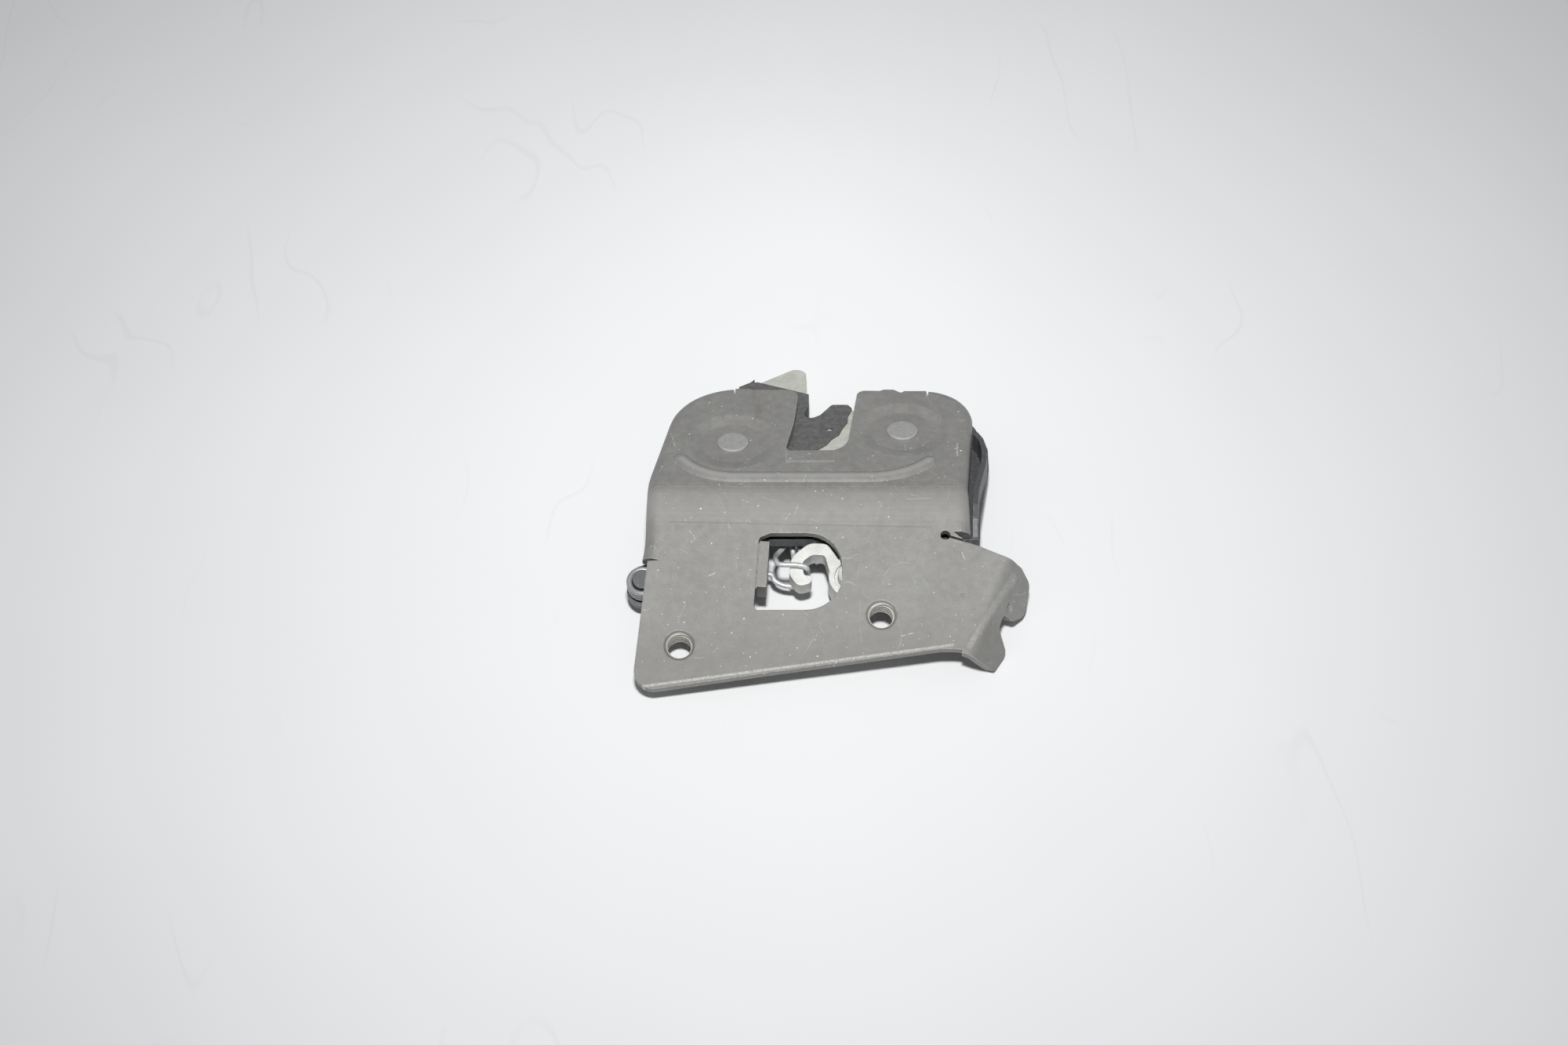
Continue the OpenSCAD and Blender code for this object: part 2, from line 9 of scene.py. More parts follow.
import bpy
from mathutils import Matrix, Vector


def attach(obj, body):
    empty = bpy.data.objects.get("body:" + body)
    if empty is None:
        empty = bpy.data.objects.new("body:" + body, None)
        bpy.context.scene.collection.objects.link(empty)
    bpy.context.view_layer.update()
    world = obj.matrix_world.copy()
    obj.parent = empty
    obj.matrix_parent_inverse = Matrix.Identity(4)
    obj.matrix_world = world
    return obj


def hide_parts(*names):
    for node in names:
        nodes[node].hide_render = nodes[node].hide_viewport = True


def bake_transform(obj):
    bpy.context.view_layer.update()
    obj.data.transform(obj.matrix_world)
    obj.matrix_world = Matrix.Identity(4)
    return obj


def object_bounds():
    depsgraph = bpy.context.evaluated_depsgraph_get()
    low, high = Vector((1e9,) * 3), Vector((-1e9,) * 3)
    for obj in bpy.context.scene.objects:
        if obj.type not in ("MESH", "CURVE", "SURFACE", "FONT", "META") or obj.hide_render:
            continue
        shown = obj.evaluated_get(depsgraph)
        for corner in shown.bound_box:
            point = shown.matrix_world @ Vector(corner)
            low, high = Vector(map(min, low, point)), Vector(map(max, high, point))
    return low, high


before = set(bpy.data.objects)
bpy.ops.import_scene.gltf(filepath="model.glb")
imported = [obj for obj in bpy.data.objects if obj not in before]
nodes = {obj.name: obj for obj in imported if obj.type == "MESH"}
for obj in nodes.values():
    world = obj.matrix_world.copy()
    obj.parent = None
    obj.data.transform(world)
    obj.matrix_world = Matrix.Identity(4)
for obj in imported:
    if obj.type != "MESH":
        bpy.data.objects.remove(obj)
cad_box = [list(corner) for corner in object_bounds()]
MM = 1000
print("CAD box in mm:", [[round(MM * v, 1) for v in corner] for corner in cad_box])

# %% [markdown]
# The model is in metres, but a pressed part is easier to think of in millimetres on its own sheet. There are two
# flat sheets here: the housing face, which leans 12.4 degrees as the latch lies, and the mounting plate, which is
# bent 30 degrees down from it. Every place below is given on one of the two and turned into metres at once. A
# parent object for each sheet would do the same, but it would leave a hidden transform on every piece.

# %% Drawing planes
LEAN = math.radians(12.4)
BEND = math.radians(30)
# the model's origin, on the left fixing hole, in mm from the middle of the bend
ORIGIN = Vector((-26.7, -37.273069, -13.135099))
# the fixing holes, in mm on the mounting plate
LEFT_HOLE, RIGHT_HOLE = (-26.7, -39.5), (24.9, -31.3)


def on_face(x, y, z=0.0):
    """The model's place, in metres, of x and y in mm on the housing face and z above it."""
    lying = Vector((x, y * math.cos(LEAN) + z * math.sin(LEAN), z * math.cos(LEAN) - y * math.sin(LEAN)))
    return (lying - ORIGIN) / MM


def on_plate(x, y, z=0.0):
    """The same for the mounting plate, where y goes up to 0 at the bend."""
    return on_face(x, y * math.cos(BEND) - z * math.sin(BEND), y * math.sin(BEND) + z * math.cos(BEND))


print("left fixing hole at", [round(v, 4) for v in on_plate(*LEFT_HOLE)])

# %% [markdown]
# The photograph looks down on the latch from in front, at 50 degrees to the table. That angle was worked out from
# the rivets and holes, which are round, so the width and height of their ellipses give the tilt. The camera could
# be aimed at the object with a constraint, but a plain place and angle can't drift when something else changes.

# %% Camera
CAMERA_PLACE = (0.0267, -0.3905, 0.5200)
ANGLE_TO_TABLE = 50.3
SENSOR_WIDTH = 36
LENS = 58.5

scene = bpy.context.scene
camera_data = bpy.data.cameras.new("camera")
camera_data.sensor_width = SENSOR_WIDTH
camera_data.lens = LENS
camera = bpy.data.objects.new("camera", camera_data)
camera.location = CAMERA_PLACE
camera.rotation_euler = (math.radians(90 - ANGLE_TO_TABLE), 0, 0)
scene.collection.objects.link(camera)
scene.camera = camera
print("camera at", [round(v, 3) for v in camera.location])

# %% [markdown]
# A material is a tree of small nodes, and most of them only do sums. Wired up one by one, a mask made of five sums
# is hard to read. Here a Field wraps one socket, and + - * / on it add the Math nodes, so that a mask reads like
# the sentence that describes it. The reflected forms let a plain number stand first, as in 1 - mask.

# %% Sockets that calculate


class Field:
    """A socket of a material's node tree that can be calculated with."""

    def __init__(self, look, socket):
        self.look, self.socket = look, socket

    def maths(self, operation, first, second):
        return self.look.node("ShaderNodeMath", {"operation": operation}, {0: first, 1: second})

    def __add__(self, other):
        return self.maths("ADD", self, other)

    __radd__ = __add__

    def __sub__(self, other):
        return self.maths("SUBTRACT", self, other)

    def __rsub__(self, other):
        return self.maths("SUBTRACT", other, self)

    def __mul__(self, other):
        return self.maths("MULTIPLY", self, other)

    __rmul__ = __mul__

    def __truediv__(self, other):
        return self.maths("DIVIDE", self, other)

    def least(self, other):
        return self.maths("MINIMUM", self, other)

    def most(self, other):
        return self.maths("MAXIMUM", self, other)

    def rise(self, low, high):
        """0 below low, 1 above high and smooth between; with low above high it falls."""
        # the five inputs are the value, the range that it comes from and the range that it goes to
        ranges = {0: self, 1: low, 2: high, 3: 0.0, 4: 1.0}
        return self.look.node("ShaderNodeMapRange", {"interpolation_type": "SMOOTHSTEP"}, ranges)


print("a Field adds nodes for + - * /, least, most and rise")

# %% [markdown]
# A Look is one material being built. Its node method makes every other node from a type, its settings and what its
# sockets hold. The settings go first, because some of them change which sockets there are. A number that is the
# same all over a surface is set on the shader's own socket, where an export can read it.

# %% A material under construction
# a Mix node has one set of sockets for each kind of value; these are the ones for colours
MIX_AMOUNT, MIX_FIRST, MIX_SECOND, MIX_RESULT = 0, 6, 7, 2
OPAQUE = 1.0


class Look:
    """A procedural material under construction."""

    def __init__(self, name):
        self.material = bpy.data.materials.new(name)
        self.material.use_nodes = True
        self.tree = self.material.node_tree
        self.tree.nodes.clear()
        self.out = self.tree.nodes.new("ShaderNodeOutputMaterial")

    def node(self, kind, settings=None, values=None, output=0):
        """A node of that type; values are numbers or Fields, and output names the socket that is wanted."""
        made = self.tree.nodes.new(kind)
        for name, value in (settings or {}).items():
            setattr(made, name, value)
        for name, value in (values or {}).items():
            if isinstance(value, Field):
                self.tree.links.new(value.socket, made.inputs[name])
            else:
                made.inputs[name].default_value = value
        return Field(self, made.outputs[output])

    def vector(self, operation, values, output="Vector"):
        """A Vector Math node; its output is Value where the operation gives one number."""
        return self.node("ShaderNodeVectorMath", {"operation": operation}, values, output)

    def mix(self, amount, first, second):
        """Colour between first and second."""
        values = {MIX_AMOUNT: amount}
        for place, colour in ((MIX_FIRST, first), (MIX_SECOND, second)):
            values[place] = colour if isinstance(colour, Field) else (*colour, OPAQUE)
        return self.node("ShaderNodeMix", {"data_type": "RGBA"}, values, MIX_RESULT)

    def principled(self, **values):
        """The finished material, from the sockets' names with _ for each space."""
        values = {name.replace("_", " "): value for name, value in values.items()}
        shader = self.node("ShaderNodeBsdfPrincipled", None, values)
        self.tree.links.new(shader.socket, self.out.inputs["Surface"])
        return self.material


print("a Look makes nodes, mixes colours and ends in one shader")

# %% [markdown]
# Wear is easiest to place with a ruler, so patterns use the same two planes as the pieces. Object coordinates are
# the model's metres here, because every object sits at the origin, and they go with a piece when a joint turns it.
# An unwrapped texture map would go with it too, but the solids come without one.

# %% Places in millimetres


def face_place(look):
    """Place on the housing face in mm."""
    place = look.node("ShaderNodeTexCoord", None, None, "Object")
    lying = look.vector("MULTIPLY_ADD", {0: place, 1: (MM, MM, MM), 2: tuple(ORIGIN)})
    return look.node("ShaderNodeVectorRotate", {"rotation_type": "X_AXIS"}, {"Vector": lying, "Angle": LEAN})


def plate_place(look, place):
    """Place on the mounting plate in mm, from the place on the housing face."""
    return look.node("ShaderNodeVectorRotate", {"rotation_type": "X_AXIS"}, {"Vector": place, "Angle": -BEND})


def flattened(look, place):
    """The place without its height, so that marks follow a bend."""
    return look.vector("MULTIPLY", {0: place, 1: (1, 1, 0)})


def along(look, place, axis):
    """One coordinate of a place: X, Y or Z."""
    return look.node("ShaderNodeSeparateXYZ", None, {0: place}, axis)


print("patterns are placed in mm, from", [round(v, 1) for v in ORIGIN])

# %% [markdown]
# Cloudy mottling, fine crystals and brushed lines are one kind of noise at different sizes and stretches. Dust is
# round specks scattered over cells, with only some of the cells in use. Painted images could hold such marks as
# well, but noise has its real size, shows no tiles and needs no file.

# %% Grain and specks


def grain(look, place, size, detail=2.0, roughness=0.5, stretch=(1, 1, 1)):
    """Noise from 0 to 1 with features of that size in mm; a stretch under 1 draws them out along that axis."""
    if stretch != (1, 1, 1):
        place = look.vector("MULTIPLY", {0: place, 1: stretch})
    values = {"Vector": place, "Scale": 1 / size, "Detail": detail, "Roughness": roughness}
    return look.node("ShaderNodeTexNoise", None, values)


def hairlines(look, place, size, detail, stretch, width, fade):
    """1 on thin winding lines, where the noise passes its middle value."""
    middle = 0.5
    noise = grain(look, place, size, detail, stretch=stretch)
    return (width - (noise - middle).most(middle - noise)).rise(0, fade)


def specks(look, place, spacing, radius, share):
    """1 on small round specks of up to that radius in mm, on a share of the cells."""
    soft_rim = 0.25
    cells = {"Vector": place, "Scale": 1 / spacing}
    distance = look.node("ShaderNodeTexVoronoi", None, cells, "Distance")
    chance = look.node("ShaderNodeTexVoronoi", None, cells, "Color")
    red = look.node("ShaderNodeSeparateColor", None, {0: chance}, "Red")
    reach = (red - (1 - share)) / share * (radius / spacing)
    return (reach - distance).rise(0, soft_rim * radius / spacing)


print("grain, hairlines and specks are measured in mm")

# %% [markdown]
# A scratch has a start, an end and a width. The nearest point on the line between the ends comes from a dot
# product, held between nothing and the line's whole length, and the mark fades with the distance from it.

# %% Strokes
STROKE_CORE = 0.3


def stroke(look, place, start, end, width):
    """1 along the line from start to end in mm on a flattened place, fading to 0 at width from it."""
    start, end = Vector((*start, 0)), Vector((*end, 0))
    length = (end - start).length
    direction = tuple((end - start) / length)
    offset = look.vector("SUBTRACT", {0: place, 1: tuple(start)})
    run = look.vector("DOT_PRODUCT", {0: offset, 1: direction}, "Value").most(0.0).least(length)
    foot = look.vector("SCALE", {0: direction, "Scale": run})
    return look.vector("DISTANCE", {0: offset, 1: foot}, "Value").rise(width, STROKE_CORE * width)


print("a stroke is full over", STROKE_CORE, "of its width")

# %% [markdown]
# Real edges are never quite sharp: they catch the light in a thin line and are the first to be rubbed bare. The
# solids' edges are sharp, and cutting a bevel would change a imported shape. A Bevel node only turns the normal near
# an edge, and how far it turns is also a good mask of where the edges are.

# %% Edges and bumps
BEVEL_SAMPLES = 6
EDGE_START, EDGE_FULL = 0.01, 0.22


def soft_edges(look, radius):
    """Normal that runs round the edges with that radius in mm, and a mask of the edges."""
    soft = look.node("ShaderNodeBevel", {"samples": BEVEL_SAMPLES}, {"Radius": radius / MM})
    flat = look.node("ShaderNodeNewGeometry", None, None, "Normal")
    turned = 1 - look.vector("DOT_PRODUCT", {0: soft, 1: flat}, "Value")
    return soft, turned.rise(EDGE_START, EDGE_FULL)


def bump(look, height, depth, normal):
    """Normal of a surface whose height goes from 0 to 1 over depth in mm."""
    values = {"Strength": 1.0, "Distance": depth / MM, "Height": height, "Normal": normal}
    return look.node("ShaderNodeBump", None, values)


print("edges are softened by a turned normal, with", BEVEL_SAMPLES, "samples")

# %% [markdown]
# A curved bead is pressed across the housing to stiffen it. The bead itself is in the solids. This mask follows
# its crest, two arcs joined by a straight, so that the finish can make the crest paler. That tone was set by
# comparing brightness with the photograph. It isn't a mark seen there: it stands in for light that the solids
# alone don't catch. A finer form of the bead would be the better way, but the imported shapes are final here.

# %% Painted highlight on the bead's crest
BEAD_LEFT, BEAD_LEFT_R = (-13.0, 28.04), 17.14
BEAD_RIGHT, BEAD_RIGHT_R = (22.0, 34.3), 23.4
BEAD_TOP_Y = 18.5
NEAR_SIDE = (BEAD_TOP_Y + 1.5, BEAD_TOP_Y - 1)
CREST_EDGE, CREST_CORE = 1.5, 0.2


def bead_highlight(look, place):
    """Painted highlight: 1 along the crest of the pressed bead, on the near side of the arcs' centres."""
    x, y = along(look, place, "X"), along(look, place, "Y")
    ways = []
    for across, centre, radius in (
        ((x - BEAD_LEFT[0]).least(0.0), BEAD_LEFT, BEAD_LEFT_R),
        ((x - BEAD_RIGHT[0]).most(0.0), BEAD_RIGHT, BEAD_RIGHT_R),
    ):
        arm = look.node("ShaderNodeCombineXYZ", None, {0: across, 1: y - centre[1]})
        ways.append(look.vector("LENGTH", {0: arm}, "Value") - radius)
    off_line = ways[0].most(ways[1])
    return off_line.most(0 - off_line).rise(CREST_EDGE, CREST_CORE) * y.rise(*NEAR_SIDE)


print("bead arcs of", BEAD_LEFT_R, "and", BEAD_RIGHT_R, "mm")

# %% [markdown]
# Handling has left scratches on the sheet. Some lie where the photograph shows one and the rest are placed freely
# in the same manner. The two painted highlights, along the plate's lower edge and the flange's crest, were set by
# comparing brightness with the photograph, and are no evidence of wear. Grain breaks all of them up, because a
# scratch skips over the low spots of a rough coat.

# %% Scratches and painted highlights
LONG_SCRATCH, LONG_SCRATCH_WIDTH = ((46.5, 25.6), (46.2, 20.3)), 0.35
FACE_SCRATCHES = (
    ((5.0, 8.5), (5.8, 10.6)), ((-19.0, 41.0), (-20.8, 40.2)), ((-2.0, 12.2), (-1.2, 11.2)),
    ((-30.5, 31.0), (-29.2, 24.5)), ((31.8, 22.0), (34.6, 20.6)), ((-12.0, 7.4), (-10.2, 8.6)),
)
PLATE_SCRATCHES = (
    ((2.5, -4.1), (3.9, 0.2)), ((0.3, -5.0), (1.6, -3.0)), ((31.9, 1.4), (38.2, 1.7)),
    ((33.0, 3.0), (35.4, 2.2)), ((-19.4, -20.6), (-17.8, -19.8)), ((-11.2, 1.2), (-9.4, 0.4)),
    ((-24.5, -8.0), (-23.0, -10.2)), ((12.0, -45.0), (14.0, -43.6)), ((45.6, -13.0), (46.6, -16.0)),
    ((30.0, -37.0), (33.0, -36.2)),
)
SCRATCH_WIDTH, SCRATCH_STRENGTH = 0.15, 0.8
# painted highlights along the plate's lower edge and the flange's crest, with their widths
LOWER_EDGE, LOWER_EDGE_WIDTH = ((-35.7, -50.5), (42.9, -39.4)), 0.5
FLANGE_CREST, FLANGE_CREST_WIDTH, FLANGE_CREST_STRENGTH = ((59.5, -19.5), (47.3, -39.6)), 1.1, 0.45


def scratched(look, place, face_flat, plate_flat):
    """1 along the scratches of the face and the plate."""
    marks = stroke(look, face_flat, *LONG_SCRATCH, LONG_SCRATCH_WIDTH)
    for flat, lines in ((face_flat, FACE_SCRATCHES), (plate_flat, PLATE_SCRATCHES)):
        for start, end in lines:
            marks = marks.most(stroke(look, flat, start, end, SCRATCH_WIDTH))
    return marks * grain(look, place, 0.5).rise(0.35, 0.6) * SCRATCH_STRENGTH


def painted_edge_highlights(look, place, plate_flat):
    """Painted highlight: 1 along the lower edge of the mounting plate, and less on the crest of the side flange."""
    lower_edge = stroke(look, plate_flat, *LOWER_EDGE, LOWER_EDGE_WIDTH)
    crest = stroke(look, plate_flat, *FLANGE_CREST, FLANGE_CREST_WIDTH)
    lines = lower_edge.most(crest * FLANGE_CREST_STRENGTH)
    return lines * grain(look, place, 0.5, detail=4, roughness=0.65).rise(0.2, 0.7)


print(1 + len(FACE_SCRATCHES) + len(PLATE_SCRATCHES), "scratches")

# %% [markdown]
# The pressed sheet looks phosphated: a dull mid grey coat, cloudy, with a fine crystalline grain that hides most of
# the steel's gloss, which is why Metallic stays low. Layers go on as they did in life: the coat, a rust streak by
# the left ring, the line left by the die below the bend, then edges and scratches rubbed bare, and dust last of
# all. Painted highlights along the plate's lower edge and the flange's crest take the bare tone of the worn edges.
# Two tones under them are no wear at all but painted light, set by comparing brightness with the photograph: a
# painted highlight in a band across the bend, because the solids' bend turns to the light a little lower than the
# real one, and painted shade that darkens the plate's lower part.

# %% Phosphated steel
COAT_DARK, COAT_PALE = (0.23, 0.226, 0.217), (0.31, 0.305, 0.292)
# radius in mm of the softened edges
HOUSING_EDGE = 0.5
# where the painted highlight across the bend rises and falls, and where the painted shade on the plate's lower part
# begins, in mm up the plate
BEND_HIGHLIGHT_RISE, BEND_HIGHLIGHT_FALL, LOW_PLATE_SHADE_RISE = (-8, -2), (7, 2.5), (-24, -46)
# tones of painted light: a highlight across the bend, shade on the plate's lower part and a highlight on the bead's
# crest
BEND_HIGHLIGHT_TONE, BEND_HIGHLIGHT_SHARE = (0.46, 0.45, 0.43), 0.4
LOW_PLATE_SHADE_TONE, LOW_PLATE_SHADE_SHARE = (0.16, 0.155, 0.14), 0.35
BEAD_HIGHLIGHT_TONE, BEAD_HIGHLIGHT_SHARE = (0.44, 0.435, 0.42), 0.6
RUST, RUST_SHARE = (0.2, 0.14, 0.09), 0.4
RUST_STREAK, RUST_WIDTH = ((-8.0, 49.6), (-6.6, 34.5)), 1.5
DIE_TONE, DIE_SHARE = (0.12, 0.118, 0.112), 0.25
DIE_LINE, DIE_WIDTH = ((-30, -5.6), (38, -7.1)), 0.3
# bare metal of worn edges and scratches; the painted edge highlights take the same tone
BARE_METAL_AND_HIGHLIGHT, BARE_AND_HIGHLIGHT_SHARE = (0.72, 0.71, 0.68), 0.85
# strength of the painted edge highlights, and of the hairlines
EDGE_HIGHLIGHT_STRENGTH, HAIR_STRENGTH = 0.65, 0.25
PALE_DUST, DUST_SHARE = (0.88, 0.88, 0.86), 0.75
# spacing and radius in mm, and the share of the cells that hold a speck
DUST_SIZES = ((1.7, 0.25, 0.3), (4.3, 0.34, 0.3), (0.8, 0.15, 0.2))


def phosphated_steel():
    look = Look("phosphated_steel_worn")
    place = face_place(look)
    plate = plate_place(look, place)
    face_flat, plate_flat = flattened(look, place), flattened(look, plate)
    soft, edge = soft_edges(look, HOUSING_EDGE)

    clouds = grain(look, place, 14, detail=3)
    mottle = grain(look, place, 2.2, detail=4, roughness=0.6)
    fine = grain(look, place, 0.35, detail=2)
    tone = (clouds * 0.3 + mottle * 0.45 + fine * 0.25).rise(0.3, 0.7)
    colour = look.mix(tone, COAT_DARK, COAT_PALE)

    plate_y = along(look, plate, "Y")
    # painted highlight in a band across the bend
    bend_highlight = plate_y.rise(*BEND_HIGHLIGHT_RISE) * plate_y.rise(*BEND_HIGHLIGHT_FALL)
    colour = look.mix(bend_highlight * BEND_HIGHLIGHT_SHARE, colour, BEND_HIGHLIGHT_TONE)
    # painted shade, darker towards the plate's lower edge
    colour = look.mix(plate_y.rise(*LOW_PLATE_SHADE_RISE) * LOW_PLATE_SHADE_SHARE, colour, LOW_PLATE_SHADE_TONE)
    # painted highlight on the bead's crest
    colour = look.mix(bead_highlight(look, place) * BEAD_HIGHLIGHT_SHARE, colour, BEAD_HIGHLIGHT_TONE)

    streak = stroke(look, face_flat, *RUST_STREAK, RUST_WIDTH)
    streak = streak * grain(look, place, 5, detail=2, stretch=(2.5, 0.6, 1)).rise(0.3, 0.62)
    colour = look.mix(streak * RUST_SHARE, colour, RUST)
    colour = look.mix(stroke(look, plate_flat, *DIE_LINE, DIE_WIDTH) * DIE_SHARE, colour, DIE_TONE)

    hair = hairlines(look, place, size=13, detail=0, stretch=(1, 0.5, 1), width=0.006, fade=0.006)
    hair = hair * grain(look, place, 3.5, detail=2).rise(0.5, 0.64)
    worn = edge * grain(look, place, 0.8, detail=3).rise(0.3, 0.6)
    worn = worn.most(scratched(look, place, face_flat, plate_flat))
    # the painted highlights along the lower edge and the flange's crest join the real wear here
    worn = worn.most(painted_edge_highlights(look, place, plate_flat) * EDGE_HIGHLIGHT_STRENGTH).most(hair * HAIR_STRENGTH)
    colour = look.mix(worn * BARE_AND_HIGHLIGHT_SHARE, colour, BARE_METAL_AND_HIGHLIGHT)

    large, sparse, small = (specks(look, place, *size) for size in DUST_SIZES)
    dust = large.most(sparse).most(small)
    colour = look.mix(dust * DUST_SHARE, colour, PALE_DUST)
    return look.principled(
        Base_Color=colour,
        Metallic=0.15 - 0.15 * dust,
        Roughness=(0.5 + 0.12 * mottle - 0.16 * worn).most(0.2),
        Normal=bump(look, fine * 0.6 + mottle * 0.4, depth=0.05, normal=soft),
    )


PHOSPHATED = phosphated_steel()
print("made", PHOSPHATED.name)

# %% [markdown]
# The back plate looks painted black: smoother than the coat of the housing, scuffed to grey on its edges, with
# dust on its flats. A second coat over bare metal could be mixed from two shaders. One shader with a paler, duller
# colour where it is scuffed looks the same at this size and exports as plain maps.

# %% Black steel
SOFT_EDGE = 0.3
BLACK_DARK, BLACK_PALE = (0.08, 0.082, 0.086), (0.14, 0.143, 0.148)
SCUFF_GREY, SCUFF_SHARE, SCUFF_STRENGTH = (0.42, 0.42, 0.41), 0.55, 0.5
PAINT_DUST, PAINT_DUST_SHARE = (0.6, 0.6, 0.58), 0.6


def black_steel():
    look = Look("black_steel_scuffed")
    place = face_place(look)
    soft, edge = soft_edges(look, SOFT_EDGE)
    mottle = grain(look, place, 1.8, detail=4, roughness=0.6)
    fine = grain(look, place, 0.3, detail=2)
    scuffs = grain(look, place, 1.2, detail=4, roughness=0.7, stretch=(1, 1, 0.35)).rise(0.56, 0.66)
    worn = (edge * grain(look, place, 0.7, detail=3).rise(0.4, 0.62)).most(scuffs * SCUFF_STRENGTH)
    dust = specks(look, place, spacing=1.4, radius=0.16, share=0.4)
    colour = look.mix(mottle, BLACK_DARK, BLACK_PALE)
    colour = look.mix(worn * SCUFF_SHARE, colour, SCUFF_GREY)
    colour = look.mix(dust * PAINT_DUST_SHARE, colour, PAINT_DUST)
    return look.principled(
        Base_Color=colour,
        Metallic=0.3,
        Roughness=0.38 + 0.2 * mottle,
        Normal=bump(look, fine * 0.7 + mottle * 0.3, depth=0.04, normal=soft),
    )


BLACK_STEEL = black_steel()
print("made", BLACK_STEEL.name)

# %% [markdown]
# The catch's core looks zinc-coated, and the release lever looks cast in zinc. Both are pale and almost matt, a
# little blotchy, drawn out along the rubbing direction and brighter on the edges. One recipe serves the core, the
# lever and the bright pins, with its own colours and gloss for each, because only those differ. The pawl, hidden
# under the housing, takes the core's finish. That finish and the pins' are guessed.

# %% Zinc and bright steel
ZINC_EDGE, ZINC_EDGE_SHARE = (0.82, 0.82, 0.79), 0.5
ZINC_DIRT, ZINC_DIRT_SHARE = (0.25, 0.24, 0.22), 0.45


def plated_steel(name, dark, light, metallic, rough):
    look = Look(name)
    place = face_place(look)
    soft, edge = soft_edges(look, SOFT_EDGE)
    blotch = grain(look, place, 3.5, detail=4, roughness=0.6)
    fine = grain(look, place, 0.25, detail=2)
    drag = grain(look, place, 0.6, detail=3, roughness=0.6, stretch=(1, 1, 0.15))
    dirt = specks(look, place, spacing=1.3, radius=0.13, share=0.3)
    colour = look.mix((blotch * 0.6 + drag * 0.4).rise(0.35, 0.65), dark, light)
    colour = look.mix(edge * ZINC_EDGE_SHARE, colour, ZINC_EDGE)
    colour = look.mix(dirt * ZINC_DIRT_SHARE, colour, ZINC_DIRT)
    return look.principled(
        Base_Color=colour,
        Metallic=metallic,
        Roughness=rough + 0.15 * blotch - 0.1 * edge,
        Normal=bump(look, fine * 0.5 + drag * 0.5, depth=0.03, normal=soft),
    )


CORE_DARK, CORE_PALE = (0.56, 0.57, 0.51), (0.68, 0.69, 0.63)
CASTING_DARK, CASTING_PALE = (0.58, 0.585, 0.56), (0.72, 0.72, 0.69)
PIN_DARK, PIN_PALE = (0.5, 0.5, 0.49), (0.62, 0.62, 0.6)
CORE = plated_steel("creamy_zinc_core", CORE_DARK, CORE_PALE, metallic=0.2, rough=0.45)
CASTING = plated_steel("white_zinc_casting", CASTING_DARK, CASTING_PALE, metallic=0.25, rough=0.42)
PIN = plated_steel("bright_pin_steel", PIN_DARK, PIN_PALE, metallic=0.8, rough=0.3)
print("made", CORE.name, CASTING.name, PIN.name)

# %% [markdown]
# The catch wears a jacket of moulded plastic, probably filled nylon, that has gone grey and chalky. Its skin is
# finely pitted, with flow marks from the mould. The pits are in the bump and not in the mesh: they are far smaller
# than anything that shows in the outline.

# %% Overmoulded plastic
CHALK_DARK, CHALK_PALE = (0.1, 0.099, 0.098), (0.165, 0.164, 0.162)
PLASTIC_EDGE, PLASTIC_EDGE_SHARE = (0.24, 0.24, 0.235), 0.35
PLASTIC_DUST, PLASTIC_DUST_SHARE = (0.5, 0.5, 0.48), 0.6


def worn_plastic():
    look = Look("chalky_black_plastic")
    place = face_place(look)
    soft, edge = soft_edges(look, SOFT_EDGE)
    chalk = grain(look, place, 1.6, detail=5, roughness=0.65)
    pits = grain(look, place, 0.3, detail=3, roughness=0.7)
    flow = grain(look, place, 0.9, detail=3, stretch=(0.25, 1, 1))
    dust = specks(look, place, spacing=1.1, radius=0.15, share=0.5)
    colour = look.mix((chalk * 0.7 + flow * 0.3).rise(0.35, 0.7), CHALK_DARK, CHALK_PALE)
    colour = look.mix(edge * PLASTIC_EDGE_SHARE, colour, PLASTIC_EDGE)
    colour = look.mix(dust * PLASTIC_DUST_SHARE, colour, PLASTIC_DUST)
    return look.principled(
        Base_Color=colour,
        Roughness=0.55 + 0.2 * chalk,
        Normal=bump(look, pits * 0.7 + chalk * 0.3, depth=0.12, normal=soft),
    )


PLASTIC = worn_plastic()
print("made", PLASTIC.name)

# %% [markdown]
# The two rivet heads are a paler grey than the sheet, with faint rings from the tool that formed them.
# Noise fed with the distance from the rivet's centre alone gives rings at once; a lathe-turned mesh with real
# grooves would need far more faces for lines that are hardly visible.

# %% Spun rivets
CATCH_RIVET = (-13.7, 27.0)
PAWL_RIVET = (32.0, 32.4)
RINGS_A_MM = 3.0
RIVET_DARK, RIVET_PALE = (0.34, 0.335, 0.325), (0.43, 0.425, 0.412)
RIVET_EDGE, RIVET_EDGE_SHARE = (0.55, 0.55, 0.53), 0.5
RIVET_DUST, RIVET_DUST_SHARE = (0.7, 0.7, 0.68), 0.5


